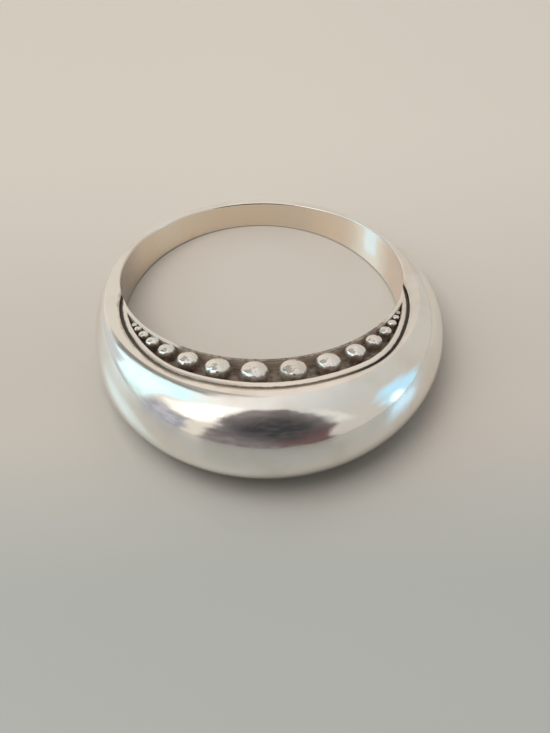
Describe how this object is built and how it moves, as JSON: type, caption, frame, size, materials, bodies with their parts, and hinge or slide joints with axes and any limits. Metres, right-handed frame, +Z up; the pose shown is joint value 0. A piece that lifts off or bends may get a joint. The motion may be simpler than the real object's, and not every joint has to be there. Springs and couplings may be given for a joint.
{
  "type": "finger ring",
  "caption": "Polished silver dome ring lying on its side: thin shank, tall smooth crown, and a crescent of graduated granules let into each side face of the crown.",
  "frame": {"origin": "on the surface that the ring lies on, under the middle of its box", "axes": "+Z up from the surface, crown towards -Y, shank towards +Y, +X to the right as seen from the crown"},
  "size_m": [0.0218, 0.0246, 0.0065],
  "materials": {
    "silver": "polished, with fine wear scratches",
    "oxidised_silver": "polished rims and granules over a darkened recess"
  },
  "bodies": {
    "root": {"band": "silver", "gallery_upper": "oxidised_silver", "gallery_lower": "oxidised_silver"}
  },
  "joints": []
}
